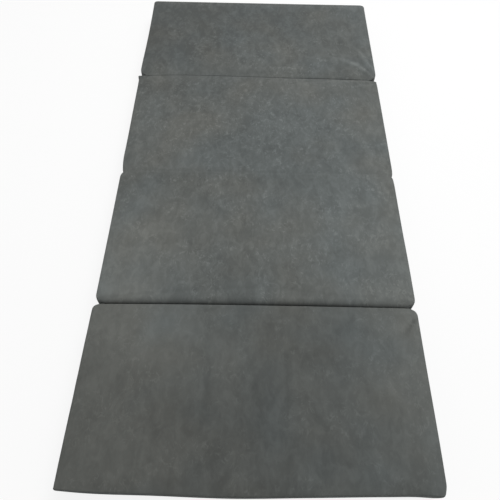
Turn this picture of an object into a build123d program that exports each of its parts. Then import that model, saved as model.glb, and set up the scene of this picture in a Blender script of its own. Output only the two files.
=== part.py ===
"""A four-panel folding guest bed: foam blocks in zipped suede covers, joined by cloth folds.

X runs across the bed, +Y towards the head end and Z up. The underside lies at z = 0, and the origin
is below the middle of the bed, on the line of the middle fold. All sizes are in millimetres.
"""

from build123d import *
from dataclasses import dataclass
from math import sqrt
import os

# The bed, lying open
bed_length = 1900.0
bed_width = 900.0
bed_height = 100.0
panel_names = ("head", "shoulder", "hip", "foot")

# The cover's cloth and how it is drawn over the foam
cloth = 1.2
band_bulge = 3.5
crown_rise = 8.0
crown_reach = 60.0
crown_corner = 70.0
crown_shares = (0.0, 0.04, 0.15, 0.35, 0.65, 1.0)
end_corner = 15.0
groove_corner = 18.0
foot_bow = 8.0

# The folds
fold_gap = 2.0
web_width = 12.0
web_clearance = 0.2

# The foam blocks
foam_clearance = 0.3

# The zip in the right-hand wall of every cover: its tapes, teeth and window
zip_margin = 42.0
tape_width = 12.0
tape_thickness = 0.6
tape_gap = 3.0
tape_tail = 14.0
tape_seat = 0.5
tooth_pitch = 4.0
tooth_height = 1.6
tooth_spine = 1.7
tooth_clearance = 0.3
window_height = 14.0
window_tail = 9.0

# The slider that runs on the teeth, and the pull on its pin
slider_length = 15.0
wing_thickness = 1.0
flange_thickness = 1.0
slider_clearance = 0.3
slider_radius = 3.0
post_length = 3.0
lug_thickness = 1.0
pin_radius = 0.6
pin_clearance = 0.1
eye_wall = 0.6
pull_length = 27.0
pull_width = 8.0
pull_thickness = 1.2
pull_hole_radius = 1.6
stop_length = 2.2
stop_height = 1.8

# Planes that cut a piece run past it by this much
overrun = 20.0

# Heights and lengths that follow from the sizes above
panel_length = bed_length / len(panel_names)
half_width = bed_width / 2
seam_height = bed_height - crown_rise
band_top = seam_height - cloth


@dataclass
class Side:
    """An end wall of a panel: its bulge, if the crown falls to it, its plan corners and its bow."""

    bulge: float
    crowned: bool
    corner: float
    bow: float


outer_end = Side(band_bulge, True, end_corner, 0)
bowed_end = Side(band_bulge, True, end_corner, foot_bow)
open_groove = Side(0, True, groove_corner, 0)
joined_top = Side(0, False, 0, 0)


@dataclass
class Panel:
    """One panel between its foot-side wall at y = low and its head-side wall at y = high."""

    name: str
    low: float
    high: float
    low_side: Side
    high_side: Side


def make_panels():
    """The four panels from the head end down, with half a fold gap at each shared wall."""
    walls = (outer_end, open_groove, joined_top, open_groove, bowed_end)
    panels = []
    for place, name in enumerate(panel_names):
        high = bed_length / 2 - place * panel_length
        low = high - panel_length
        high_gap = fold_gap / 2 if place else 0
        low_gap = fold_gap / 2 if place < len(panel_names) - 1 else 0
        panel = Panel(name, low + low_gap, high - high_gap, walls[place + 1], walls[place])
        panels.append(panel)
    return panels


def corner_radius(side, inset, reach):
    """A wall's plan corners tighten with the inset, and open out up the crown."""
    if not side.crowned:
        return 0
    return side.corner - inset + (crown_corner - side.corner) * reach / crown_reach


def outline(panel, height, drawn, inset=0, reach=0):
    """A panel's plan outline at a height, drawn in by the seams, a wall's depth and the crown."""
    across = half_width - drawn * band_bulge - inset - reach
    low_side, high_side = panel.low_side, panel.high_side
    low = panel.low + low_side.bow + drawn * low_side.bulge + inset
    high = panel.high - high_side.bow - drawn * high_side.bulge - inset
    low += reach if low_side.crowned else 0
    high -= reach if high_side.crowned else 0
    low_turn = corner_radius(low_side, inset, reach)
    high_turn = corner_radius(high_side, inset, reach)
    edges = [Line((across, low + low_turn), (across, high - high_turn))]
    if high_turn:
        edges.append(CenterArc((across - high_turn, high - high_turn), high_turn, 0, 90))
    edges.append(Line((across - high_turn, high), (high_turn - across, high)))
    if high_turn:
        edges.append(CenterArc((high_turn - across, high - high_turn), high_turn, 90, 90))
    edges.append(Line((-across, high - high_turn), (-across, low + low_turn)))
    if low_turn:
        edges.append(CenterArc((low_turn - across, low + low_turn), low_turn, 180, 90))
    left, right = (low_turn - across, low), (across - low_turn, low)
    if low_side.bow:
        edges.append(ThreePointArc(left, (0, low - low_side.bow), right))
    else:
        edges.append(Line(left, right))
    if low_turn:
        edges.append(CenterArc((across - low_turn, low + low_turn), low_turn, 270, 90))
    return Pos(0, 0, height) * make_face(edges)


def crown_height(share):
    """How high the crown stands over its seam, at a share of its reach in from the seam."""
    return crown_rise * sqrt(1 - (1 - share) ** 2)


def bulging_block(panel, inset):
    """The space inside the side band: drawn in at both seams and fullest halfway up."""
    sections = [
        outline(panel, cloth, 1, inset),
        outline(panel, seam_height / 2, 0, inset),
        outline(panel, band_top, 1, inset),
    ]
    return loft(sections)


def crowned_block(panel, bottom, inset, drop):
    """A straight-walled block from a bottom height up to the crown, lowered by a drop."""
    foot = outline(panel, bottom, 1, inset)
    wall = extrude(foot, seam_height - drop - bottom)
    sections = [
        outline(panel, seam_height - drop + crown_height(share), 1, inset, crown_reach * share)
        for share in crown_shares
    ]
    return wall + loft(sections, ruled=True)


def crown_profile(bottom, drop):
    """The crown from side to side, as an upright face across the bed down to a bottom height."""
    across = half_width - band_bulge
    rise = [
        (across - crown_reach * share, seam_height - drop + crown_height(share))
        for share in crown_shares
    ]
    fall = [(-x, z) for x, z in reversed(rise)]
    points = [(across, bottom), *rise, *fall, (-across, bottom)]
    return Plane.XZ * make_face(Polyline(*points, close=True))


def slab(low, high):
    """All of the space between two heights across the bed, from y = low to y = high."""
    tall = bed_height + 2 * overrun
    wide = bed_width + 2 * overrun
    return Pos(0, (low + high) / 2, bed_height / 2) * Box(wide, high - low, tall)


def trimmed(piece, panel, low_cut, high_cut):
    """A piece without its strips nearer to the panel's fold lines than the given cuts."""
    if low_cut:
        line = panel.low - fold_gap / 2
        piece -= slab(line - overrun, line + low_cut)
    if high_cut:
        line = panel.high + fold_gap / 2
        piece -= slab(line - high_cut, line + overrun)
    return piece


def foam_core(panel):
    """The foam block: straight walls behind the seams, and the crown just under the top cloth."""
    inset = cloth + foam_clearance
    return crowned_block(panel, cloth, inset, inset)


def top_cloth(panel):
    """The crowned lying surface, with a rim that stands on the side band."""
    outside = crowned_block(panel, band_top, 0, 0)
    inside = crowned_block(panel, band_top - overrun, cloth, cloth)
    cut = web_width / 2 + web_clearance
    low_cut = 0 if panel.low_side.crowned else cut
    high_cut = 0 if panel.high_side.crowned else cut
    return trimmed(outside - inside, panel, low_cut, high_cut)


def joined_wall(panel):
    """The upper strip of the wall below the joined top, up to the underside of the fold's web."""
    drop = cloth + foam_clearance
    strip = extrude(crown_profile(seam_height / 2, drop), cloth)
    if not panel.low_side.crowned:
        return Pos(0, panel.low + cloth, 0) * strip
    return Pos(0, panel.high, 0) * strip


def side_band(panel):
    """The wall of the cover: one strip sewn round the panel, with a window for the zip."""
    band = bulging_block(panel, 0) - bulging_block(panel, cloth)
    if not (panel.low_side.crowned and panel.high_side.crowned):
        band += joined_wall(panel)
    length = zip_length(panel) + 2 * window_tail
    window = extrude(SlotOverall(length, window_height), overrun, both=True)
    return band - zip_frame(panel) * window


def bottom_cloth(panel):
    """The flat cloth below, which stops short of the webs that join panels at their undersides."""
    sheet = extrude(outline(panel, 0, 1), cloth)
    cut = web_width / 2 + web_clearance
    low_cut = cut if panel.low_side is open_groove else 0
    high_cut = cut if panel.high_side is open_groove else 0
    return trimmed(sheet, panel, low_cut, high_cut)


def bottom_web(fold_line):
    """The cloth strip across the undersides of two panels, below an open groove."""
    across = bed_width - 2 * band_bulge - 2 * groove_corner
    return Pos(0, fold_line, cloth / 2) * Box(across, web_width, cloth)


def top_web():
    """The strip of the lying surface that bends where the shoulder and hip panels are joined."""
    section = crown_profile(band_top, 0) - crown_profile(band_top - overrun, cloth)
    return extrude(section, web_width / 2, both=True)


def zip_length(panel):
    """The length of the closed teeth, a whole number of pitches."""
    room = panel.high - panel.low - 2 * zip_margin
    return tooth_pitch * (room // tooth_pitch)


def zip_frame(panel):
    """The zip's own frame: x along the zip towards the head, y up, z out through the window."""
    wall = half_width - cloth - tape_seat
    middle = (panel.low + panel.high) / 2
    return Location(Plane((wall, middle, seam_height / 2), x_dir=(0, 1, 0), z_dir=(1, 0, 0)))


def zip_tapes(length):
    """The two woven tapes, sewn behind the window's edges."""
    tape = Box(length + 2 * tape_tail, tape_width, tape_thickness)
    middle = (tape_gap + tape_width) / 2
    return [Pos(0, side * middle, -tape_thickness / 2) * tape for side in (-1, 1)]


def tooth_row(length, side):
    """One row of moulded teeth on its spine; the rows interlock half a pitch apart."""
    root, spine = tape_gap / 2, tape_gap / 2 + tooth_spine
    tip = tooth_clearance - tape_gap / 2
    wide = tooth_pitch / 2 - tooth_clearance
    shift = side * tooth_pitch / 4
    start = -length / 2
    points = [(start, spine), (start, root)]
    for tooth in range(int(length / tooth_pitch)):
        middle = start + (tooth + 1 / 2) * tooth_pitch + shift
        near, far = middle - wide / 2, middle + wide / 2
        points += [(near, root), (near, tip), (far, tip), (far, root)]
    points += [(-start, root), (-start, spine)]
    row = extrude(make_face(Polyline(*points, close=True)), tooth_height)
    return row if side > 0 else mirror(row, Plane.XZ)


def slider_front(length):
    """Where the front of the closed slider stands: its post is just past the last tooth."""
    return length / 2 + slider_clearance + post_length + slider_clearance


def slider_half_width():
    """Half the slider's width, over the flanges that run outside the teeth."""
    return tape_gap / 2 + tooth_spine + slider_clearance + flange_thickness


def pivot_height():
    """The pull's pin over the tapes, high enough for its eye to clear the slider's wing."""
    wing_top = tooth_height + slider_clearance + wing_thickness
    return wing_top + slider_clearance + pin_radius + pin_clearance + eye_wall


def eye_width():
    """The pull's eye is as wide as the gap between the teeth's spines."""
    return tape_gap + 2 * slider_clearance


def slider_lugs(middle):
    """Two ears on the outer wing and the pin between them that carries the pull."""
    wing_top = tooth_height + slider_clearance + wing_thickness
    ear_radius = pin_radius + eye_wall + pin_clearance
    gap = eye_width() + 2 * slider_clearance
    spot = Pos(middle, 0, pivot_height())
    across = Rot(90, 0, 0)
    lugs = spot * across * Cylinder(pin_radius, gap + 2 * lug_thickness)
    rise = pivot_height() - wing_top
    for side in (-1, 1):
        level = side * (gap + lug_thickness) / 2
        ear = Pos(middle, level, pivot_height()) * across * Cylinder(ear_radius, lug_thickness)
        leg = Box(2 * ear_radius, lug_thickness, rise)
        lugs += ear + Pos(middle, level, wing_top + rise / 2) * leg
    return lugs


def zip_slider(length):
    """Two wings on a post, flanges that steer the teeth, and the ears of the pull."""
    front = slider_front(length)
    middle = front - slider_length / 2
    wide = 2 * slider_half_width()
    wing = extrude(RectangleRounded(slider_length, wide, slider_radius), wing_thickness)
    outer_level = tooth_height + slider_clearance
    inner_level = -tape_thickness - slider_clearance - wing_thickness
    body = Pos(middle, 0, outer_level) * wing + Pos(middle, 0, inner_level) * wing
    flange_deep = outer_level - slider_clearance
    flange = Box(slider_length - 2 * slider_radius, flange_thickness, flange_deep)
    level = slider_half_width() - flange_thickness / 2
    for side in (-1, 1):
        body += Pos(middle, side * level, outer_level - flange_deep / 2) * flange
    post_wide = tape_gap - 2 * slider_clearance
    post_tall = outer_level - inner_level
    post = Box(post_length, post_wide, post_tall)
    post_middle = front - slider_clearance - post_length / 2
    body += Pos(post_middle, 0, inner_level + post_tall / 2) * post
    return body + slider_lugs(middle)


def zip_pull(length):
    """The flat pull, lying back along the closed teeth, with its eye on the slider's pin."""
    middle = slider_front(length) - slider_length / 2
    neck_reach = pin_radius + pin_clearance + eye_wall + slider_clearance
    neck_length = 2 * neck_reach
    blade_length = pull_length - neck_reach
    neck = Pos(-neck_length / 2, 0) * Rectangle(neck_length, eye_width())
    blade_middle = -neck_reach - blade_length / 2
    blade = Pos(blade_middle, 0) * RectangleRounded(blade_length, pull_width, pull_width / 3)
    hole_place = -pull_length + pull_width / 2
    flat = neck + blade - Pos(hole_place, 0) * Circle(pull_hole_radius)
    plate = Pos(0, 0, -pull_thickness / 2) * extrude(flat, pull_thickness)
    eye = Rot(90, 0, 0) * Cylinder(pin_radius + pin_clearance + eye_wall, eye_width())
    bore = Rot(90, 0, 0) * Cylinder(pin_radius + pin_clearance, 2 * pull_width)
    return Pos(middle, 0, pivot_height()) * (plate + eye - bore)


def zip_stops(length):
    """Two stops in front of the closed slider, one on each tape, and one across the far end."""
    front = slider_front(length) + slider_clearance + stop_length / 2
    spine_middle = (tape_gap + tooth_spine) / 2
    small = Box(stop_length, tooth_spine, stop_height)
    stops = [Pos(front, side * spine_middle, stop_height / 2) * small for side in (-1, 1)]
    wide = tape_gap + 2 * tooth_spine
    back = -length / 2 - tooth_clearance - stop_length / 2
    stops.append(Pos(back, 0, stop_height / 2) * Box(stop_length, wide, stop_height))
    return stops


def save(name, piece):
    """Writes a piece, or a group of separate pieces, as one file."""
    shape = Compound(children=piece) if isinstance(piece, list) else piece
    export_step(shape, f"parts/{name}.step")


def placed(frame, pieces):
    """Pieces moved from the zip's own frame to the bed's."""
    return [frame * piece for piece in pieces]


def save_panel(panel):
    """The foam block, the three cloths of its cover, and the zip's pieces."""
    save(f"{panel.name}_foam_core", foam_core(panel))
    save(f"{panel.name}_top_cloth", top_cloth(panel))
    save(f"{panel.name}_side_band", side_band(panel))
    save(f"{panel.name}_bottom_cloth", bottom_cloth(panel))
    frame, length = zip_frame(panel), zip_length(panel)
    rows = [tooth_row(length, side) for side in (-1, 1)]
    save(f"{panel.name}_zip_tapes", placed(frame, zip_tapes(length)))
    save(f"{panel.name}_zip_teeth", placed(frame, rows))
    save(f"{panel.name}_zip_stops", placed(frame, zip_stops(length)))
    save(f"{panel.name}_zip_slider", frame * zip_slider(length))
    save(f"{panel.name}_zip_pull", frame * zip_pull(length))


def save_bed():
    """Every panel, and the three strips of cloth that they fold on."""
    os.makedirs("parts", exist_ok=True)
    panels = make_panels()
    for panel in panels:
        save_panel(panel)
    save("head_fold_web", bottom_web(panel_length))
    save("middle_fold_web", top_web())
    save("foot_fold_web", bottom_web(-panel_length))


save_bed()
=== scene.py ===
"""A four-panel folding guest bed in dark grey suede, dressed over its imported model.

All sizes are in metres and every piece lies in the model's frame: X across the bed with the zips at
+X, +Y towards the head end, Z up from the floor. Panels are named from the head end down.
"""

import math

import bpy
import numpy as np
from mathutils import Matrix, Vector


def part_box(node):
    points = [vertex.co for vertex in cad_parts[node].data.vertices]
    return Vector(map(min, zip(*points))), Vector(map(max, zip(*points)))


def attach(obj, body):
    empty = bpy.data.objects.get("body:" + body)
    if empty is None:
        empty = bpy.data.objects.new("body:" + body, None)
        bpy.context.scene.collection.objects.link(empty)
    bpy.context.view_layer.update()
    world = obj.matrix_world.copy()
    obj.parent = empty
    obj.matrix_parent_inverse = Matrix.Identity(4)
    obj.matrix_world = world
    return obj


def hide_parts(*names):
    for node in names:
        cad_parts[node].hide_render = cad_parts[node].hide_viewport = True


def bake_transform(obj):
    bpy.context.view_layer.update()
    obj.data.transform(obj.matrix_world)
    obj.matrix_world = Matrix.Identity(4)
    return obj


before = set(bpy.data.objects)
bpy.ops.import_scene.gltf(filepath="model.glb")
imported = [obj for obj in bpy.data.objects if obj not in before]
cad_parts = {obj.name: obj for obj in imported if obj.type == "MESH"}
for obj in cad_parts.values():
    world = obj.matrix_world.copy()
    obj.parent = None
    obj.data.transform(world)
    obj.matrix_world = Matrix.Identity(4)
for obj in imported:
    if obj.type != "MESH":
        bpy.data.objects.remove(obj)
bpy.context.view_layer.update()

# The foam cores: four blocks of pale open-cell polyurethane, hot-wire cut and drawn to a low crown by
# the covers that they fill. No block is cut quite square, and each cover follows its block. Tops and
# undersides keep a little room to the folds' axes, so that the closed panels lie on each other.

mm = 0.001
foam_inset = 2.6 * mm
foam_slimming = 0.85
band_bulge = 3.5 * mm
crown_rise = 8 * mm
crown_reach = 60 * mm
lying_room = 2.5 * mm
underside_room = 0.4 * mm
roll_reach = 20 * mm
deepest_hollow, highest_ridge = 2 * mm, 2.3 * mm
zip_wall_start, zip_wall_ease = 18 * mm, 16 * mm


class Pull:
    """A soft ridge, or a hollow below 0, where the cover is drawn towards a corner. It runs from a start
    to an end in plan, and its width and height are in millimetres."""

    def __init__(self, start, end, width, height):
        self.start, self.end = np.array(start), np.array(end)
        self.width, self.height = width * mm, height * mm

    def rise(self, x, y):
        """Height over the crown: height exp(-(d / width)^2) at a distance d from the line, eased in over
        the line's first half and out just past its end."""
        line = self.end - self.start
        along = ((x - self.start[0]) * line[0] + (y - self.start[1]) * line[1]) / (line @ line)
        apart = np.hypot(x - self.start[0] - along * line[0], y - self.start[1] - along * line[1])
        fade = ease(along / 0.5) * ease((1.15 - along) / 0.25)
        return self.height * fade * np.exp(-((apart / self.width) ** 2))


class Panel:
    """A panel's cut. Its outline strays from a rectangle by a few millimetres: corners holds the radii
    near left, near right, far left and far right, where near is the foot side, and pinches holds how
    far each corner is drawn in, and over what length. lines holds, for the left, right, near and far
    edges, points (share -1 to 1 along the edge, how far outwards) that the edge's line passes through.
    rolls are how far the top turns down at the near and far edge, each at its left and right end.
    fades are how far from the near and far edge the side walls have swelled whole, and undercut is how
    far the near wall's lower edge is drawn in. All but the shares are in millimetres."""

    def __init__(self, name, corners, pinches, lines, rolls, fades=(8, 8), pulls=(), undercut=0):
        self.name = name
        self.corners, self.pinches, self.lines = corners, pinches, lines
        self.rolls, self.fades, self.pulls, self.undercut = rolls, fades, pulls, undercut
        self.near_outer, self.far_outer = name == "foot", name == "head"
        self.near_crown, self.far_crown = name != "shoulder", name != "hip"
        low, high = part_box(f"{name}_side_band")
        self.near = low.y + (band_bulge if self.near_outer else 0)
        self.far = high.y - (band_bulge if self.far_outer else 0)
        self.half_width = high.x - band_bulge
        self.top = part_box(f"{name}_top_cloth")[1].z


unpinched = (0, 50)
straight = [(-1, 0), (1, 0)]
no_roll = (0, 0)
head = Panel(
    "head",
    corners=(18, 17, 13, 17),
    pinches=((31, 43), (24.5, 36), unpinched, unpinched),
    lines=(
        [(-1, 0.9), (-0.75, 0.8), (-0.1, -1.2), (0.5, -0.6), (1, 1.4)],
        [(-1, 0.6), (-0.5, 1.0), (0.2, 0.5), (1, 1.0)],
        [(-1, 9), (-0.92, 4.5), (-0.75, 0.3), (-0.35, -2.5), (-0.05, -1.0)]
        + [(0.2, 0.6), (0.8, 1.5), (0.93, 3.6), (1, 8)],
        [(-1, 6.5), (0, 4.0), (0.7, 2.6), (1, 2.5)],
    ),
    rolls=((-5, 5), no_roll),
    fades=(45, 8),
    pulls=[
        Pull((0.230, 0.612), (0.385, 0.548), width=9, height=2.4),
        Pull((0.330, 0.590), (0.436, 0.490), width=9, height=2.9),
        Pull((0.360, 0.690), (0.444, 0.520), width=9, height=2.5),
        Pull((0.415, 0.700), (0.448, 0.560), width=6, height=0.9),
        Pull((0.320, 0.560), (0.405, 0.500), width=9, height=-1.2),
        Pull((0.395, 0.550), (0.440, 0.485), width=5, height=-1.8),
        Pull((0.165, 0.594), (0.248, 0.525), width=8, height=0.6),
    ],
)
shoulder = Panel(
    "shoulder",
    corners=(0, 0, 2, 4),
    pinches=((7.4, 75), (3.3, 30), (-4, 14), (-2, 12)),
    lines=(
        [(-1, -0.6), (-0.3, -1.2), (0.3, -0.2), (1, 0.8)],
        [(-1, -0.2), (-0.2, -0.2), (0.4, -0.7), (1, -1.8)],
        straight,
        [(-1, -8), (-0.92, -3.4), (-0.75, 0.8), (-0.35, 3.8), (-0.05, 2.3)]
        + [(0.2, 0.7), (0.8, -0.2), (0.93, -2.4), (1, -6.8)],
    ),
    rolls=(no_roll, (-4, 5)),
    fades=(8, 4),
)
hip = Panel(
    "hip",
    corners=(15, 20, 0, 0),
    pinches=((13.1, 25.6), (12.1, 31.3), (7.4, 22), (3.8, 20)),
    lines=(
        [(-1, -1.6), (0, -2.1), (1, -1.9)],
        [(-1, 1.6), (-0.3, 1.2), (0.1, -0.9), (1, -1.6)],
        [(-1, -1.5), (-0.5, -4.0), (0, -5.5), (0.5, -6.0), (1, -3.8)],
        straight,
    ),
    rolls=((15, 16), no_roll),
)
foot = Panel(
    "foot",
    corners=(1, 4, 15, 20),
    pinches=(unpinched, (6.5, 27.5), (3.4, 18.5), (5.1, 34.1)),
    lines=(
        [(-1, 7.6), (-0.6, 6.6), (0, 4.6), (0.6, 3.0), (1, 1.2)],
        [(-1, -1.5), (-0.7, 0.2), (0.4, 0.7), (1, 1.8)],
        [(-1, -4.0), (-0.9, -1.1), (-0.5, 2.0), (-0.1, 4.8)]
        + [(0.3, 0.2), (0.75, -5.6), (0.9, -6.8), (1, -5.0)],
        [(-1, -1.5), (-0.5, 1.8), (0, 3.2), (0.5, 3.4), (1, 2.8)],
    ),
    rolls=(no_roll, (1, 1)),
    pulls=[
        Pull((0.396, -0.567), (0.4365, -0.512), width=6.5, height=-3.4),
        Pull((0.436, -0.552), (0.4455, -0.514), width=3.5, height=2.2),
        Pull((0.402, -0.486), (0.4335, -0.4915), width=3.5, height=1.6),
        Pull((0.370, -0.560), (0.4220, -0.508), width=8, height=1.0),
        Pull((0.352, -0.665), (0.372, -0.610), width=6, height=0.7),
        Pull((0.330, -0.685), (0.338, -0.630), width=6, height=0.5),
    ],
    undercut=7,
)
panels = [head, shoulder, hip, foot]


def spread(count, crowding):
    """Places from -1 to 1 that are even but for their ends, where they crowd: t + c (t - t^9) / 8."""
    even = np.linspace(-1, 1, count + 1)
    return even + crowding * (even - even**9) / 8


def ease(value):
    """A smooth step from 0 to 1: 3 t^2 - 2 t^3, with t cut to 0..1."""
    held = np.clip(value, 0, 1)
    return held * held * (3 - 2 * held)


def curve_through(points, share):
    """A smooth curve through points (place, value): cubic pieces that leave each point at the mean of
    the slopes on its two sides."""
    places, values = np.array(points, float).T
    slopes = np.gradient(values, places)
    before = np.clip(np.searchsorted(places, share) - 1, 0, len(places) - 2)
    after = before + 1
    span = np.diff(places)[before]
    t = (share - places[before]) / span
    started = (1 + 2 * t) * (1 - t) ** 2 * values[before] + t * (1 - t) ** 2 * span * slopes[before]
    return started + t * t * (3 - 2 * t) * values[after] - t * t * (1 - t) * span * slopes[after]


def plan_place(panel, across, along, inset):
    """Where a point of the flat cut, at shares -1 to 1 of its width and length, lies in plan. The cut's
    rectangle is inset, its corners are bent almost to quarter circles (by a * sqrt(1 - bend b^2), where
    1/2 would be a circle but close up the corner's cell) and pinched in by the squared share of their
    length that is left, and its four edges follow their lines."""
    bend = 0.46
    half_width = panel.half_width - inset
    half_length = (panel.far - panel.near) / 2 - inset
    left, near = across < 0, along < 0

    def at_corner(values):
        near_ones = np.where(left, values[0], values[1])
        far_ones = np.where(left, values[2], values[3])
        return np.where(near, near_ones, far_ones) * mm

    sharpest = 0.001 * mm
    radius = np.maximum(at_corner(panel.corners), sharpest)
    a = np.clip((half_width * (np.abs(across) - 1) + radius) / radius, 0, 1)
    b = np.clip((half_length * (np.abs(along) - 1) + radius) / radius, 0, 1)
    x = half_width * across + np.sign(across) * radius * a * (np.sqrt(1 - bend * b * b) - 1)
    y = half_length * along + np.sign(along) * radius * b * (np.sqrt(1 - bend * a * a) - 1)
    depth, length = (at_corner(values) for values in zip(*panel.pinches))
    x -= across * depth * np.clip(1 - (half_length - np.abs(y)) / length, 0, 1) ** 2
    left_line, right_line, near_line, far_line = panel.lines
    x += mm * (1 + across) / 2 * curve_through(right_line, along)
    x -= mm * (1 - across) / 2 * curve_through(left_line, along)
    y += mm * (1 + along) / 2 * curve_through(far_line, across)
    y -= mm * ((1 - along) / 2) ** 2 * curve_through(near_line, across)
    return x, y + (panel.far + panel.near) / 2


def crown_share(panel, across, along, inset):
    """How much of the crown's rise a point has: a quarter ellipse sqrt(1 - (1 - d / reach)^2) of its
    distance d from each seam that the crown falls to, multiplied together."""
    share = np.ones(np.broadcast(across, along).shape)
    half_length = (panel.far - panel.near) / 2
    distances = [(panel.half_width - inset) * (1 - np.abs(across))]
    distances += [half_length * (1 + along) - inset] if panel.near_crown else []
    distances += [half_length * (1 - along) - inset] if panel.far_crown else []
    for distance in distances:
        share = share * np.sqrt(1 - (1 - np.clip(distance / crown_reach, 0, 1)) ** 2)
    return share


def rolled_off(panel, across, along):
    """How far the top has turned down at a point: a quarter ellipse, the roll times
    1 - sqrt(1 - (1 - d / reach)^2), of its distance d from the near or far edge."""
    drop = np.zeros(np.broadcast(across, along).shape)
    for distance, (left_roll, right_roll) in zip((1 + along, 1 - along), panel.rolls):
        roll = mm * (left_roll + (right_roll - left_roll) * (1 + across) / 2)
        nearness = 1 - (panel.far - panel.near) / 2 * distance / roll_reach
        drop += roll * (1 - np.sqrt(1 - np.clip(nearness, 0, 1) ** 2))
    return drop


def swelled(down):
    """How far a wall has swelled at a share t of its way down: (1 - |2 t - 1|^3)^(1/3)."""
    return (1 - np.abs(2 * down - 1) ** 3) ** (1 / 3)


def grid_faces(grid):
    """The four-sided faces of a grid of point numbers, facing up where its columns run along +X."""
    return np.stack([grid[:-1, :-1], grid[:-1, 1:], grid[1:, 1:], grid[1:, :-1]], axis=-1).reshape(-1, 4)


def ring_faces(rings):
    """The faces of stacked rings of point numbers, closed round the loop and facing outwards."""
    after = np.roll(rings, -1, axis=1)
    return np.stack([rings[:-1], rings[1:], after[1:], after[:-1]], axis=-1).reshape(-1, 4)


def rim_of(grid):
    """The rim of a grid as one loop: along its first row, up its last column, back, and down."""
    return np.concatenate([grid[0, :-1], grid[:-1, -1], grid[-1, :0:-1], grid[:0:-1, 0]])


class Form:
    """A panel's closed surface: a top grid, a bottom grid and the rings of the wall between them.
    points is (n, 3), and top, bottom and rings hold the numbers of its points as grids. With an inset
    it is the foam block: smaller, slimmer in its walls, and without the cover's ridges and hollows."""

    def __init__(self, panel, columns, rows, rings, crowding, inset=0):
        self.panel, self.inset = panel, inset
        across, along = np.meshgrid(spread(columns, crowding), spread(rows, crowding))
        self.top = np.arange(across.size).reshape(across.shape)
        self.bottom = self.top + across.size
        self.fullness = crown_share(panel, across, along, inset)
        x, y = plan_place(panel, across, along, inset)
        drawn = sum((pull.rise(x, y) for pull in panel.pulls), np.zeros_like(x))
        room = lying_room * ease(np.abs(y) / crown_reach) * self.fullness
        crown = panel.top - crown_rise * (1 - self.fullness) - room - inset
        crown -= rolled_off(panel, across, along)
        if not inset:
            crown += np.clip(drawn, -deepest_hollow, highest_ridge) * ease(self.fullness / 0.4)
        # The pulls' heights, kept for the suede's painted highlight on ridges and painted shade in hollows.
        self.drawn = drawn.ravel()
        y_below = y + panel.undercut * mm * ((1 - along) / 2) ** 2
        top = np.dstack([x, y, crown]).reshape(-1, 3)
        bottom = np.dstack([x, y_below, np.full_like(x, inset + underside_room)]).reshape(-1, 3)
        rim = rim_of(self.top)
        down = (1 - np.cos(math.pi * np.linspace(0, 1, rings + 1))) / 2
        wall = top[rim] + (bottom[rim] - top[rim]) * down[:, None, None]
        slimmer = 1 - foam_slimming * inset / band_bulge
        wall[..., :2] += self.outwards(top[rim]) * self.swell(top[rim], down)[..., None] * slimmer
        self.points = np.concatenate([top, bottom, wall[1:-1].reshape(-1, 3)])
        own = 2 * self.top.size + np.arange((rings - 1) * len(rim)).reshape(rings - 1, len(rim))
        self.rings = np.concatenate([rim[None], own, rim_of(self.bottom)[None]])

    def outwards(self, rim):
        """The rim's outward unit normals in plan: the chord between a point's neighbours, turned."""
        chord = np.roll(rim, -1, axis=0) - np.roll(rim, 1, axis=0)
        normal = np.stack([chord[:, 1], -chord[:, 0]], axis=1)
        return normal / np.linalg.norm(normal, axis=1, keepdims=True)

    def swell(self, rim, down):
        """How far the wall stands proud: its bulge is whole on the bed's outer sides, and fades to
        nothing where two panels press together. The zip's tape keeps the middle of its own wall
        straight, whatever the seams do."""
        panel, x, y = self.panel, rim[:, 0], rim[:, 1]
        near_fade, far_fade = np.array(panel.fades) * mm
        near = np.where(panel.near_outer, 1, ease((y - panel.near) / near_fade))
        far = np.where(panel.far_outer, 1, ease((panel.far - y) / far_fade))
        from_end = np.minimum(y - panel.near, panel.far - y)
        beside_zip = (x > 0) * ease((from_end - zip_wall_start) / zip_wall_ease)
        proud = band_bulge + beside_zip * (panel.half_width - self.inset - x)
        return proud * near * far * swelled(down[:, None])


def piece(name, points, *faces, places=None):
    """A smooth mesh object from points (n, 3) and blocks of faces, without unused points. places are
    the face corners' places on the flat cloth, in metres, kept as its UV map."""
    used, numbers = np.unique(np.concatenate([block.ravel() for block in faces]), return_inverse=True)
    parts = np.split(numbers.ravel(), np.cumsum([block.size for block in faces])[:-1])
    sides = [corners for block, part in zip(faces, parts) for corners in part.reshape(block.shape).tolist()]
    mesh = bpy.data.meshes.new(name)
    mesh.from_pydata(points[used].tolist(), [], sides)
    mesh.polygons.foreach_set("use_smooth", np.ones(len(mesh.polygons), bool))
    if places is not None:
        mesh.uv_layers.new(name="cloth").data.foreach_set("uv", places.astype(np.float32).ravel())
    made = bpy.data.objects.new(name, mesh)
    bpy.context.scene.collection.objects.link(made)
    return made


class Field:
    """A value that varies over a surface. Sums and products of Fields add their Math nodes."""

    def __init__(self, finish, socket):
        self.finish, self.socket = finish, socket

    def maths(self, operation, *values):
        node = self.finish.node("ShaderNodeMath", {"operation": operation}, *values)
        return Field(self.finish, node.outputs[0])

    def __add__(self, other):
        return self.maths("ADD", self, other)

    def __sub__(self, other):
        return self.maths("SUBTRACT", self, other)

    def __rsub__(self, other):
        return self.maths("SUBTRACT", other, self)

    def __mul__(self, other):
        return self.maths("MULTIPLY", self, other)

    def __abs__(self):
        return self.maths("ABSOLUTE", self)

    def sine(self):
        return self.maths("SINE", self)

    def held(self):
        """The value cut to 0..1."""
        return Field(self.finish, self.finish.node("ShaderNodeClamp", {}, self).outputs[0])

    __radd__, __rmul__ = __add__, __mul__


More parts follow.
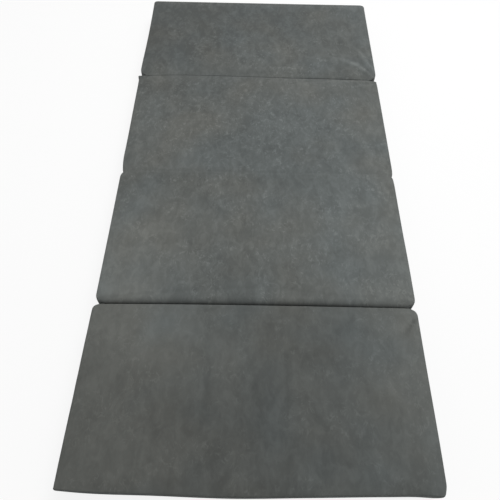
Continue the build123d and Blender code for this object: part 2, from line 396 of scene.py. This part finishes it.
class Finish:
    """A material whose surface is one Principled BSDF, with a method that adds any other node."""

    def __init__(self, name, **settings):
        self.material = bpy.data.materials.new(name)
        self.material.use_nodes = True
        self.tree = self.material.node_tree
        self.surface = self.tree.nodes["Principled BSDF"]
        self.output = self.tree.nodes["Material Output"]
        self.feed(self.surface, settings)

    def node(self, kind, settings, *values, **named):
        """Adds a node of a kind, with its settings first, then its sockets by order or by name."""
        made = self.tree.nodes.new(kind)
        for key, value in settings.items():
            setattr(made, key, value)
        self.feed(made, dict(enumerate(values)) | named)
        return made

    def feed(self, node, values):
        """Sets or links sockets. A key is a socket's number, or its name with _ for a space."""
        for key, value in values.items():
            socket = node.inputs[key.replace("_", " ") if isinstance(key, str) else key]
            if isinstance(value, Field):
                self.tree.links.new(value.socket, socket)
            else:
                socket.default_value = value

    def object_place(self):
        return Field(self, self.node("ShaderNodeTexCoord", {}).outputs["Object"])

    def parts(self, place):
        """The x, y and z of a place."""
        return [Field(self, socket) for socket in self.node("ShaderNodeSeparateXYZ", {}, place).outputs]

    def noise(self, place, scale, detail=2, roughness=0.5, distortion=0):
        """Noise of a scale in copies per metre."""
        made = self.node(
            "ShaderNodeTexNoise",
            {},
            Vector=place,
            Scale=scale,
            Detail=detail,
            Roughness=roughness,
            Distortion=distortion,
        )
        return Field(self, made.outputs[0])

    def moved(self, place, scale=(1, 1, 1), shift=(0, 0, 0)):
        """A place scaled along each axis and shifted."""
        made = self.node("ShaderNodeMapping", {}, place, Location=shift, Scale=scale)
        return Field(self, made.outputs[0])

    def mixed(self, share, first, second):
        """A colour part of the way from the first to the second."""
        made = self.node("ShaderNodeMix", {"data_type": "RGBA"})
        self.feed(made, {0: share, 6: first, 7: second})
        return Field(self, made.outputs[2])

    def raised(self, height, distance, strength=1):
        """A normal bent by a height from 0 to 1 that stands for a distance."""
        made = self.node("ShaderNodeBump", {}, Strength=strength, Distance=distance, Height=height)
        return Field(self, made.outputs[0])


def from_screen(*levels):
    """A colour for a socket from its 8-bit screen levels: ((c + 0.055) / 1.055)^2.4."""
    return tuple(((level / 255 + 0.055) / 1.055) ** 2.4 for level in levels) + (1,)


def foam_finish():
    """Cream foam: round open cells about 1.5 mm wide, yellowed in large soft patches."""
    foam = Finish("foam_finish", Roughness=0.95)
    place = foam.object_place()
    cells = foam.node("ShaderNodeTexVoronoi", {}, Vector=place, Scale=650.0)
    depth = Field(foam, cells.outputs["Distance"])
    pale = foam.mixed(foam.noise(place, 6, 3), from_screen(226, 216, 184), from_screen(209, 190, 142))
    colour = foam.mixed((depth * 0.8).held(), pale, from_screen(150, 132, 92))
    foam.feed(foam.surface, {"Base Color": colour, "Normal": foam.raised(depth, 0.6 * mm, 0.7)})
    return foam.material


foam = foam_finish()
for panel in panels:
    block = Form(panel, columns=48, rows=28, rings=10, crowding=0.8, inset=foam_inset)
    sides = [grid_faces(block.top), grid_faces(block.bottom)[:, ::-1], ring_faces(block.rings)]
    core = piece(f"{panel.name}_foam_block", block.points, *sides)
    core.data.materials.append(foam)
    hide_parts(f"{panel.name}_foam_core")
    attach(core, f"{panel.name}_panel")

# The covers: suede cut to the panel and sewn up inside out, so that every seam is a pinched line with
# the cloth standing proud on both sides. They are drawn tight over the foam and give only a little, in
# shallow waves on the top and puckers beside the seams.

top_give, top_pitch = 0.5 * mm, 0.16
wall_give, wall_pitch = 0.6 * mm, 0.05
sideways_cap, sink_cap, lift_cap = 1.0 * mm, 0.6 * mm, 1.0 * mm
extra_length = 0.015


def waver(x, y, pitch, seed):
    """A smooth random height of about -1 to 1: eight plane waves with seeded directions, phases and
    wavelengths near the pitch, added up."""
    draw = np.random.default_rng(seed)
    turns, phases = draw.uniform(0, 2 * math.pi, (2, 8))
    lengths = pitch * draw.uniform(0.7, 1.5, 8)
    waves = [
        np.sin(2 * math.pi * (x * math.cos(turn) + y * math.sin(turn)) / length + phase)
        for turn, phase, length in zip(turns, phases, lengths)
    ]
    return sum(waves) / math.sqrt(2 * len(waves))


def slacken(form):
    """Moves a cover's points by the give that the simulation leaves out: shallow waves over the top,
    and a slow sway of the outer walls, but not of the zip's wall, which its tape keeps straight."""
    panel, points = form.panel, form.points
    seed = panels.index(panel)
    top = form.top.ravel()
    x, y, _ = points[top].T
    points[top, 2] += top_give * form.fullness.ravel() * waver(x, y, top_pitch, seed)
    wall = form.rings[1:-1].ravel()
    x, y, z = points[wall].T
    outer = ease((-x - panel.half_width) / (2 * mm))
    sway = waver(y, z, wall_pitch, seed + 20)
    points[wall, 0] -= wall_give * outer * sway * np.sin(math.pi * z / panel.top)


def pucker(forms):
    """Cloth simulation of the tops. Each is pinned along its seams and fold, the foam's pressure holds
    it up, and beside the seams it is cut longer than they are, so that it puckers there. The foam
    stops it from sinking and the thread from lifting, which caps how far each point moves."""
    trials = []
    for form in forms:
        trial = piece(f"{form.panel.name}_trial", form.points, grid_faces(form.top))
        held = trial.vertex_groups.new(name="held")
        joined = [] if form.panel.near_crown else [form.top[0], form.top[1]]
        joined += [] if form.panel.far_crown else [form.top[-1], form.top[-2]]
        held.add(np.concatenate([form.rings[0], *joined]).tolist(), 1, "REPLACE")
        longer = trial.vertex_groups.new(name="longer")
        beside_seam = 1 - ease(form.fullness.ravel() / 0.9)
        for number in np.flatnonzero(beside_seam > 0.01).tolist():
            longer.add([number], float(beside_seam[number]), "REPLACE")
        cloth = trial.modifiers.new("cloth", "CLOTH")
        cloth.point_cache.frame_end = last_frame
        settings = cloth.settings
        settings.quality = 5
        settings.mass = 0.05
        settings.tension_stiffness = settings.compression_stiffness = 20
        settings.bending_stiffness = 1.0
        settings.vertex_group_mass = "held"
        settings.vertex_group_shrink = "longer"
        settings.shrink_min, settings.shrink_max = 0, -extra_length
        settings.use_pressure = True
        settings.uniform_pressure_force = 4
        settings.effector_weights.gravity = 0
        trials.append(trial)
    for number in range(1, last_frame + 1):
        bpy.context.scene.frame_set(number)
    graph = bpy.context.evaluated_depsgraph_get()
    for form, trial in zip(forms, trials):
        settled = np.empty(3 * form.top.size, np.float32)
        trial.evaluated_get(graph).data.vertices.foreach_get("co", settled)
        shift = settled.reshape(-1, 3) - form.points[: form.top.size]
        shift[:, :2] = np.clip(shift[:, :2], -sideways_cap, sideways_cap)
        shift[:, 2] = np.clip(shift[:, 2], -sink_cap, lift_cap)
        form.points[: form.top.size] += shift
        bpy.data.objects.remove(trial)
    bpy.context.scene.frame_set(1)


last_frame = 16
covers = {panel.name: Form(panel, columns=200, rows=104, rings=16, crowding=0.8) for panel in panels}
for cover in covers.values():
    slacken(cover)
pucker(covers.values())


# Painted highlight and shade: how much paler the suede is painted per metre that a pull's ridge stands up,
# and how much darker per metre that a hollow sinks.
relief_shade_tone_per_metre = 125


def suede(name, shade, grain, patches=()):
    """Brushed microfibre suede, painted on the flat cloth. The nap lies in soft mottles, with short lighter
    curls where it was stroked the other way, light specks, and fine flecks along and across the cloth,
    and listed patches make broad areas lighter or darker. Ridges are painted paler and hollows darker,
    as painted highlight and shade, by the height that the cloth keeps as "drawn". A patch is (place,
    reach, tone, tint, stir): tone below 0 is darker, tint goes from -1, olive, to 1, teal, and stir adds
    to the curls and specks."""
    nap = Finish(name, **{"Sheen Weight": 0.10, "Sheen Roughness": 0.5, "Specular IOR Level": 0.2})
    place = Field(nap, nap.node("ShaderNodeUVMap", {"uv_map": "cloth"}).outputs[0])
    brushed = (1, 0.6, 1)
    drift = nap.noise(place, 2.6, 2)
    cloud = nap.noise(nap.moved(place, brushed, (3, 7, 0)), 20, 3, 0.6, 0.5)
    blotch = nap.noise(nap.moved(place, brushed, (9, 2, 0)), 46, 5, 0.65, 0.8)
    mottle = nap.noise(nap.moved(place, brushed, (4, 1, 0)), 130, 2, 0.6, 0.3)
    busy = nap.noise(nap.moved(place, shift=(5, 5, 0)), 11, 2) * 7 - 3.1
    broken = (nap.noise(nap.moved(place, shift=(6, 9, 0)), 60, 2) * 8 - 3.8).held()
    curl = (1 - abs(nap.noise(nap.moved(place, brushed, (1, 4, 0)), 42, 1, 0.5, 2.4) - 0.5) * 12).held()
    speck = (nap.noise(nap.moved(place, brushed, (8, 3, 0)), 90, 2) * 9 - 5.7).held()
    level = nap.noise(nap.moved(place, (45, 300, 1), (2, 0, 0)), 1, 2)
    upright = nap.noise(nap.moved(place, (260, 50, 1), (0, 2, 0)), 1, 2)
    flecks = (level * 7 - 4.5).held() + (upright * 7 - 4.3).held()
    fibre = nap.noise(place, 900, 3, 0.7)
    plate = ((blotch - 0.45) * 6).held() - 0.5
    tone = 0.42 + (drift - 0.5) * 0.35 + (cloud - 0.5) * 0.75 + plate * (0.22 * grain)
    tone = tone + ((mottle - 0.5) * 0.22 + (fibre - 0.5) * 0.08) * grain
    # Painted highlight and shade: the tone follows the pulls' height, paler on their ridges and darker in
    # their hollows.
    drawn = nap.node("ShaderNodeAttribute", {"attribute_name": "drawn"}).outputs["Fac"]
    tone = tone + Field(nap, drawn) * relief_shade_tone_per_metre
    tint = (nap.noise(nap.moved(place, shift=(0, 11, 0)), 6, 1.5) - 0.5) * 2.2 + 0.45
    for spot, reach, patch_tone, patch_tint, stir in patches:
        scale = (1 / reach[0], 1 / reach[1], 0)
        around = nap.moved(place, scale, (-spot[0] * scale[0], -spot[1] * scale[1], 0))
        span = nap.node("ShaderNodeVectorMath", {"operation": "LENGTH"}, around).outputs["Value"]
        weight = (1 - Field(nap, span)).held()
        weight = weight * weight * (3 - 2 * weight)
        tone = tone + weight * patch_tone
        tint = tint + weight * patch_tint
        busy = busy + weight * stir
    tone = tone + (curl * broken * 0.52 + speck * 0.12 + flecks * 0.08) * (busy.held() * grain)
    olive_dark, blue_dark = np.array([(0.0790, 0.0818, 0.0759), (0.0749, 0.0828, 0.0816)]) * shade
    olive_light, blue_light = np.array([(0.1706, 0.1766, 0.1638), (0.1619, 0.1792, 0.1766)]) * shade
    dark = nap.mixed(tint.held(), (*olive_dark, 1), (*blue_dark, 1))
    light = nap.mixed(tint.held(), (*olive_light, 1), (*blue_light, 1))
    nap.feed(
        nap.surface,
        {
            "Base Color": nap.mixed(tone.held(), dark, light),
            "Roughness": 0.98 - blotch * 0.12,
            "Normal": nap.raised(fibre * 0.5 + mottle * 0.5, 0.7 * mm, 0.35),
        },
    )
    return nap.material


cloth_thickness = 1.2 * mm


def finished(made, material):
    """Cloth of the real thickness: its mesh is the outer face, thickened inwards."""
    made.data.materials.append(material)
    thickness = made.modifiers.new("thickness", "SOLIDIFY")
    thickness.thickness, thickness.offset = cloth_thickness, -1
    return made


def cloth_places(points, faces, shift=(0, 0)):
    """The corners' places on a flat cloth: their x and y, moved to a part of the pattern of its own."""
    return points[faces][..., :2] + np.array(shift)


# The top cloths: suede, the side that is slept on. The head and foot panels have one each, crowned to
# all four seams. Shoulder and hip share one long cloth that runs flat over the fold between them.

suede_finish = suede(
    "suede_finish",
    shade=1.0,
    grain=1.0,
    patches=[
        ((-0.42, 0.85), (0.75, 0.60), -0.34, 0.2, -0.3),
        ((0.20, 0.80), (0.50, 0.45), -0.12, 0.2, -0.6),
        ((0.10, 0.58), (0.35, 0.16), 0.0, 0.0, 0.7),
        ((-0.17, 0.65), (0.16, 0.20), 0.0, 0.0, 0.6),
        ((-0.30, 0.40), (0.45, 0.22), -0.12, 0.0, 0.0),
        ((0.00, 0.25), (0.60, 0.35), 0.0, 0.25, 0.7),
        ((-0.24, 0.23), (0.18, 0.16), 0.0, -0.9, 0.5),
        ((0.06, 0.08), (0.40, 0.28), -0.05, 0.6, 0.0),
        ((0.42, 0.00), (0.45, 0.45), 0.14, 0.2, 0.0),
        ((0.42, -0.33), (0.45, 0.30), 0.18, 0.3, 0.3),
        ((-0.42, -0.33), (0.32, 0.36), 0.38, -0.1, -0.4),
        # Painted light: the next three patches lighten the tops just beside the open grooves, at the hip's
        # near edge and the head's near left, against the shade where the tops fall into them.
        ((-0.40, -0.44), (0.22, 0.09), 0.20, 0.0, 0.0),
        ((0.35, -0.44), (0.25, 0.09), 0.20, 0.0, 0.0),
        ((-0.38, 0.50), (0.30, 0.10), 0.14, 0.0, 0.0),
    ],
)
foot_finish = suede(
    "foot_suede_finish",
    shade=0.85,
    grain=0.65,
    patches=[
        ((-0.40, -0.52), (0.35, 0.22), 0.38, -0.5, 0.0),
        ((-0.15, -0.58), (0.30, 0.20), 0.20, 0.4, 0.0),
        ((-0.34, -0.78), (0.40, 0.34), 0.12, -0.9, 0.2),
        ((0.44, -0.62), (0.30, 0.42), 0.36, 0.1, 0.6),
        ((0.02, -0.80), (0.35, 0.30), -0.14, 0.0, -0.3),
    ],
)
for panel, finish in ((head, suede_finish), (foot, foot_finish)):
    form = covers[panel.name]
    faces = grid_faces(form.top)
    top = piece(f"{panel.name}_lying_cloth", form.points, faces, places=cloth_places(form.points, faces))
    # The pulls' heights go on the cloth as "drawn", for its painted highlight on ridges and painted shade
    # in hollows.
    rub_wear_and_relief_shade = top.data.attributes.new("drawn", "FLOAT", "POINT")
    rub_wear_and_relief_shade.data.foreach_set("value", form.drawn)
    finished(top, finish)
    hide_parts(f"{panel.name}_top_cloth")
    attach(top, f"{panel.name}_panel")

fold_reach = 6 * mm
hip_form, shoulder_form = covers["hip"], covers["shoulder"]
both = np.concatenate([hip_form.points, shoulder_form.points])
long_grid = np.concatenate([hip_form.top, shoulder_form.top + len(hip_form.points)])
faces = grid_faces(long_grid)
long_top = piece("middle_lying_cloth", both, faces, places=cloth_places(both, faces))
finished(long_top, suede_finish)
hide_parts("shoulder_top_cloth", "middle_fold_web", "hip_top_cloth")
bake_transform(long_top)

# The side bands: one strip of the same suede round each panel, sewn to both other cloths. The zip lies
# in a slit along the middle of its right-hand wall, with the slit's edges turned under.

slit_height = 14 * mm
slit_tail = 9 * mm
turned_under = 0.7 * mm
band_shift = 5


def slit_opening(panel, y):
    """Half the slit's height along the wall: straight, with a half circle at each end."""
    low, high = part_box(f"{panel.name}_zip_teeth")
    middle, half = (low.y + high.y) / 2, (high.y - low.y) / 2 + slit_tail
    radius = slit_height / 2
    past = np.clip(np.abs(y - middle) - (half - radius), 0, radius)
    return np.sqrt(radius**2 - past**2) * (np.abs(y - middle) < half)


def band_piece(panel, form, finish):
    """The band as its own mesh. Its middle ring is doubled on the zip's wall, and the rings above and
    below are pushed apart to open the slit: each moves by the opening, less towards the seams. At the
    middle fold its upper edge keeps a little room below the fold's axis."""
    points, numbers = form.points.copy(), form.rings
    at_fold = numbers[0][np.abs(points[numbers[0], 1]) < fold_reach]
    points[at_fold, 2] -= underside_room
    centre = len(numbers) // 2
    zip_level = (panel.top - crown_rise) / 2
    loop = points[numbers[centre]]
    opening = slit_opening(panel, loop[:, 1]) * (loop[:, 0] > panel.half_width)
    parted = opening > 0
    lower_edge = numbers[centre].copy()
    lower_edge[parted] = len(points) + np.arange(parted.sum())
    points = np.concatenate([points, loop[parted]])
    upper = numbers[: centre + 1]
    lower = np.concatenate([lower_edge[None], numbers[centre + 1 :]])
    for rows_of_points, side in ((upper[1:], 1), (lower[:-1], -1)):
        height = points[rows_of_points, 2]
        points[rows_of_points, 2] += side * opening * (1 - np.abs(height - zip_level) / zip_level)
    for edge in (upper[-1], lower[0]):
        points[edge[parted], 0] -= turned_under
    faces = np.concatenate([ring_faces(upper), ring_faces(lower)])
    lengths = np.linalg.norm(np.roll(loop, -1, axis=0) - loop, axis=1)
    ends = np.cumsum(lengths)
    start = ends - lengths
    around = np.tile(np.stack([start, start, ends, ends], axis=1), (len(numbers) - 1, 1))
    places = np.stack([around + band_shift + panels.index(panel), points[faces][..., 2]], axis=-1)
    made = piece(f"{panel.name}_band", points, faces, places=places)
    finished(made, finish)
    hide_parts(f"{panel.name}_side_band")
    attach(made, f"{panel.name}_panel")


for panel in panels:
    band_piece(panel, covers[panel.name], foot_finish if panel is foot else suede_finish)

# The zips: black ones let into the right-hand walls, so that a cover comes off for washing. The
# tapes are woven polyester, the teeth and stops moulded, the slider and its pull lacquered zinc.


def tape_finish():
    """Woven black tape: a herringbone of yarns 0.7 mm wide that turn every 2 mm of the tape's width."""
    tape = Finish("zip_tape_finish", Roughness=0.85)
    place = tape.object_place()
    _, y, z = tape.parts(place)
    turn = tape.node("ShaderNodeMath", {"operation": "PINGPONG"}, z, 2 * mm).outputs[0]
    yarn = ((y + Field(tape, turn)) * (2 * math.pi / (0.7 * mm))).sine() * 0.5 + 0.5
    dust = tape.noise(place, 400, 3)
    # Painted shade and highlight: the tape's colour is darker between the yarns and paler on their crowns,
    # as the bump falls and rises, mixed with a random dust tone.
    colour = tape.mixed((yarn * 0.6 + dust * 0.4).held(), from_screen(22, 22, 24), from_screen(52, 53, 55))
    tape.feed(tape.surface, {"Base Color": colour, "Normal": tape.raised(yarn, 0.2 * mm, 0.8)})
    return tape.material


def teeth_finish():
    """Moulded black acetal with a dull shine, scuffed paler where the slider runs."""
    teeth = Finish("zip_teeth_finish")
    place = teeth.object_place()
    scuff = ((teeth.noise(place, 260, 3) - 0.55) * 6).held()
    colour = teeth.mixed(scuff, from_screen(30, 30, 32), from_screen(74, 75, 78))
    grip = teeth.raised(teeth.noise(place, 1500, 2), 0.05 * mm)
    teeth.feed(teeth.surface, {"Base Color": colour, "Roughness": scuff * 0.25 + 0.38, "Normal": grip})
    return teeth.material


def metal_finish():
    """Dark lacquered zinc: brushed along the zip, and paler and duller where it is rubbed."""
    metal = Finish("zip_metal_finish", Metallic=0.8)
    place = metal.object_place()
    brushed = metal.noise(metal.moved(place, (300, 60, 3000)), 1, 3)
    rub_wear_and_relief_shade = ((metal.noise(place, 320, 4) - 0.4) * 3).held()
    colour = metal.mixed(rub_wear_and_relief_shade, from_screen(66, 66, 68), from_screen(84, 84, 84))
    metal.feed(
        metal.surface,
        {
            "Base Color": colour,
            "Roughness": 0.26 + rub_wear_and_relief_shade * 0.18 + brushed * 0.1,
            "Normal": metal.raised(brushed, 0.03 * mm, 0.5),
        },
    )
    return metal.material


zip_finishes = {"tapes": tape_finish(), "teeth": teeth_finish(), "slider": metal_finish()}
zip_finishes |= {"stops": zip_finishes["teeth"], "pull": zip_finishes["slider"]}
for panel in panels:
    for part, finish in zip_finishes.items():
        for held_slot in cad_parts[f"{panel.name}_zip_{part}"].material_slots:
            held_slot.material = finish

# The sewing thread: grey polyester. One row of lockstitch above and one below each slit holds the
# turned edge and the zip's tape, a bar tack closes the tapes past each end of the teeth, and zigzag
# rows join the folding strips to the undersides.

thread_radius = 0.32 * mm
stitch_length = 3.2 * mm
stitched_share = 0.8
slit_margin = 2.5 * mm
tack_reach = 4.5 * mm
tack_start, tack_end, tack_pitch = 4.2 * mm, 9 * mm, 0.6 * mm
off_wall = np.array([1.0, 0, 0])


def thread_finish():
    """Twisted grey thread: plies that slant round it every 0.6 mm, painted darker between them and paler on
    their crowns as painted shade and highlight.
    """
    thread = Finish("thread_finish", Roughness=0.7)
    place = thread.object_place()
    x, y, z = thread.parts(place)
    ply = ((x + y + z) * (2 * math.pi / (0.6 * mm))).sine() * 0.5 + 0.5
    fuzz = thread.noise(place, 1200, 2)
    # Painted shade and highlight: darker in the grooves between the plies and paler on their crowns, mixed
    # with a random fuzz.
    ply_shade_and_fuzz = (ply * 0.7 + fuzz * 0.3).held()
    colour = thread.mixed(ply_shade_and_fuzz, from_screen(66, 68, 68), from_screen(108, 111, 110))
    thread.feed(thread.surface, {"Base Color": colour, "Normal": thread.raised(ply, 0.1 * mm)})
    return thread.material


thread = thread_finish()


def stitches(name, starts, ends, off, body):
    """A row of stitches from starts to ends, each (n, 3), with off the unit direction off the cloth. Each
    is a closed six-sided tube: its radius is 1 - (2 t - 1)^4 of the thread's along its length t, and
    its line rises off the cloth by half a radius."""
    t = np.linspace(0.04, 0.96, 6)
    turn = np.arange(6) * math.pi / 3
    along = ends - starts
    side = np.cross(along, off)
    side /= np.linalg.norm(side, axis=1, keepdims=True)
    centre = starts[:, None] + along[:, None] * t[:, None]
    centre = centre + off * (thread_radius * np.sin(math.pi * t) * 0.5)[:, None]
    radius = thread_radius * (1 - (2 * t - 1) ** 4)[:, None, None]
    round_it = side[:, None, None] * np.cos(turn)[:, None] + off * np.sin(turn)[:, None]
    points = centre[:, :, None] + radius * round_it
    numbers = np.arange(len(starts) * len(t) * len(turn)).reshape(len(starts), len(t), len(turn))
    after = np.roll(numbers, -1, axis=2)
    walls = np.stack([numbers[:, :-1], numbers[:, 1:], after[:, 1:], after[:, :-1]], axis=-1).reshape(-1, 4)
    caps = np.concatenate([numbers[:, 0], numbers[:, -1, ::-1]])
    row = piece(name, points.reshape(-1, 3), walls, caps)
    row.data.materials.append(thread)
    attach(row, body)


def wall_place(panel, y, height):
    """Points on the zip's wall at places along it and a height above the floor: from the right-hand
    seam out to the straight middle, by the swell at that height."""
    share = (2 * y - panel.far - panel.near) / (panel.far - panel.near)
    seam_x, _ = plan_place(panel, np.ones_like(share), share, 0)
    down = 1 - height / (panel.top - crown_rise)
    x = seam_x + (panel.half_width + band_bulge - seam_x) * swelled(down)
    return np.stack([x, y, np.full_like(y, height)], axis=1)


for panel in panels:
    low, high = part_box(f"{panel.name}_zip_teeth")
    middle = (low.z + high.z) / 2
    run = np.arange(low.y - slit_tail, high.y + slit_tail, stitch_length)
    for word, side in (("upper", 1), ("lower", -1)):
        height = middle + side * (slit_height / 2 + slit_margin)
        starts = wall_place(panel, run, height)
        ends = wall_place(panel, run + stitched_share * stitch_length, height)
        stitches(f"{panel.name}_zip_{word}_stitches", starts, ends, off_wall, f"{panel.name}_panel")
    tape_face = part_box(f"{panel.name}_zip_tapes")[1].x
    for word, end, away in (("near", low.y, -1), ("far", high.y, 1)):
        y = end + away * np.arange(tack_start, tack_end, tack_pitch)
        starts = np.stack([np.full_like(y, tape_face), y, np.full_like(y, middle - tack_reach)], axis=1)
        ends = starts + (0, 0, 2 * tack_reach)
        stitches(f"{panel.name}_zip_{word}_tack", starts, ends, off_wall, f"{panel.name}_panel")

# The bottom cloths: flat pieces of the same suede that the bed lies on. Each stops short of the strips
# that join two panels at their undersides, and its grid is drawn in evenly along its length.

underside_shift = (11, 0)
for panel in panels:
    points, numbers = covers[panel.name].points.copy(), covers[panel.name].bottom
    low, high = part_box(f"{panel.name}_bottom_cloth")
    y = points[numbers, 1]
    near = y[0] if panel.near_outer else np.maximum(y[0], low.y)
    far = y[-1] if panel.far_outer else np.minimum(y[-1], high.y)
    points[numbers, 1] = near + (y - y[0]) * (far - near) / (y[-1] - y[0])
    faces = grid_faces(numbers)[:, ::-1]
    places = cloth_places(points, faces, underside_shift)
    below = piece(f"{panel.name}_underside", points, faces, places=places)
    finished(below, suede_finish)
    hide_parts(f"{panel.name}_bottom_cloth")
    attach(below, f"{panel.name}_panel")

# The folding strips below the two open grooves: suede tapes sewn to both undersides. A little slack
# lets each one arch up into its groove.

strip_slack = 1.5 * mm
strip_margin = 4 * mm
strip_shift = (17, 0)
zigzag_out, zigzag_in, zigzag_level = 2.2 * mm, 0.4 * mm, 0.55 * mm


def strip(name, node, near_body, far_body):
    """A long tape across the fold line. At shares u along it and v over its width, from -1 to 1, it
    arches up by slack (1 + cos(pi v)) / 2 (1 - u^8)."""
    low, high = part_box(node)
    across, along = np.meshgrid(np.linspace(-1, 1, 97), np.linspace(-1, 1, 9))
    x = across * (high.x - low.x) / 2
    y = (low.y + high.y) / 2 + along * (high.y - low.y) / 2
    z = underside_room + strip_slack * (1 + np.cos(math.pi * along)) / 2 * (1 - across**8)
    points = np.dstack([x, y, z]).reshape(-1, 3)
    faces = grid_faces(np.arange(across.size).reshape(across.shape))[:, ::-1]
    made = piece(name, points, faces, places=cloth_places(points, faces, strip_shift))
    finished(made, suede_finish)
    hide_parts(node)
    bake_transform(made)
    turns_x = np.arange(low.x + strip_margin, high.x - strip_margin, stitch_length)
    for edge, inwards, body in ((low.y, 1, near_body), (high.y, -1, far_body)):
        swing = np.where(np.arange(len(turns_x)) % 2, -zigzag_out, zigzag_in) * inwards
        turns = np.stack([turns_x, edge + swing, np.full_like(turns_x, zigzag_level)], axis=1)
        stitches(f"{name}_{body}_stitches", turns[:-1], turns[1:], np.array([0, 0, -1.0]), body)


strip("head_folding_strip", "head_fold_web", "shoulder_panel", "head_panel")
strip("foot_folding_strip", "foot_fold_web", "foot_panel", "hip_panel")

# The floor, the light and the camera. The bed lies on a white floor under a large soft lamp towards
# its head end, and is seen from above its foot.


def floor_finish():
    """White to the camera and in reflections, with a soft trace of shadow, and clear from below."""
    floor = Finish("floor_finish", Roughness=1.0)
    rays = floor.node("ShaderNodeLightPath", {})
    seen = Field(floor, rays.outputs["Is Camera Ray"]) + Field(floor, rays.outputs["Is Glossy Ray"])
    seen = seen + Field(floor, rays.outputs["Is Transmission Ray"])
    glow = floor.node("ShaderNodeEmission", {}, Color=(1, 1, 1, 1), Strength=1.2)
    floor.feed(floor.surface, {"Base Color": (0.5, 0.5, 0.5, 1)})
    white = floor.node("ShaderNodeMixShader", {}, seen.held() * 0.7)
    floor.tree.links.new(floor.surface.outputs[0], white.inputs[1])
    floor.tree.links.new(glow.outputs[0], white.inputs[2])
    below = Field(floor, floor.node("ShaderNodeNewGeometry", {}).outputs["Backfacing"])
    clear = floor.node("ShaderNodeBsdfTransparent", {})
    whole = floor.node("ShaderNodeMixShader", {}, below)
    floor.tree.links.new(white.outputs[0], whole.inputs[1])
    floor.tree.links.new(clear.outputs[0], whole.inputs[2])
    floor.tree.links.new(whole.outputs[0], floor.output.inputs["Surface"])
    return floor.material


floor_half = 12.0
floor_corners = floor_half * np.array([(-1, -1, 0), (1, -1, 0), (1, 1, 0), (-1, 1, 0)])
floor = piece("floor", floor_corners, np.array([[0, 1, 2, 3]]))
floor.data.materials.append(floor_finish())

world = bpy.data.worlds.new("studio")
bpy.context.scene.world = world
world.use_nodes = True
sky = world.node_tree.nodes
links = world.node_tree.links
rays = sky.new("ShaderNodeLightPath")
ambient = sky["Background"]
ambient.inputs["Color"].default_value = (1, 1, 1, 1)
ambient.inputs["Strength"].default_value = 0.4
white = sky.new("ShaderNodeBackground")
white.inputs["Color"].default_value = (1, 1, 1, 1)
white.inputs["Strength"].default_value = 1.0
either = sky.new("ShaderNodeMath")
either.operation = "MAXIMUM"
links.new(rays.outputs["Is Camera Ray"], either.inputs[0])
links.new(rays.outputs["Is Glossy Ray"], either.inputs[1])
choice = sky.new("ShaderNodeMixShader")
links.new(either.outputs[0], choice.inputs[0])
links.new(ambient.outputs[0], choice.inputs[1])
links.new(white.outputs[0], choice.inputs[2])
links.new(choice.outputs[0], sky["World Output"].inputs["Surface"])

lamp_place, lamp_aim = Vector((1.0, 0.9, 3.4)), Vector((0, 0.1, 0))
light = bpy.data.lights.new("soft_lamp", "AREA")
light.shape, light.size, light.energy = "SQUARE", 2.0, 88
lamp = bpy.data.objects.new("soft_lamp", light)
bpy.context.scene.collection.objects.link(lamp)
lamp.location = lamp_place
lamp.rotation_euler = (lamp_aim - lamp_place).to_track_quat("-Z", "Y").to_euler()

camera_place = (-0.0131, -1.0535, 1.3324)
pitch_down, yaw, roll = math.radians(58.492), math.radians(0.287), math.radians(0.860)
picture_size = 500
focal_pixels = 489.8
eye = bpy.data.cameras.new("camera")
eye.sensor_width = 36
eye.lens = eye.sensor_width * focal_pixels / picture_size
camera = bpy.data.objects.new("camera", eye)
bpy.context.scene.collection.objects.link(camera)
facing = Matrix.Rotation(yaw, 4, "Z") @ Matrix.Rotation(math.pi / 2 - pitch_down, 4, "X")
camera.matrix_world = Matrix.Translation(camera_place) @ facing @ Matrix.Rotation(roll, 4, "Z")
bpy.context.scene.camera = camera
bpy.context.scene.view_settings.view_transform = "Standard"
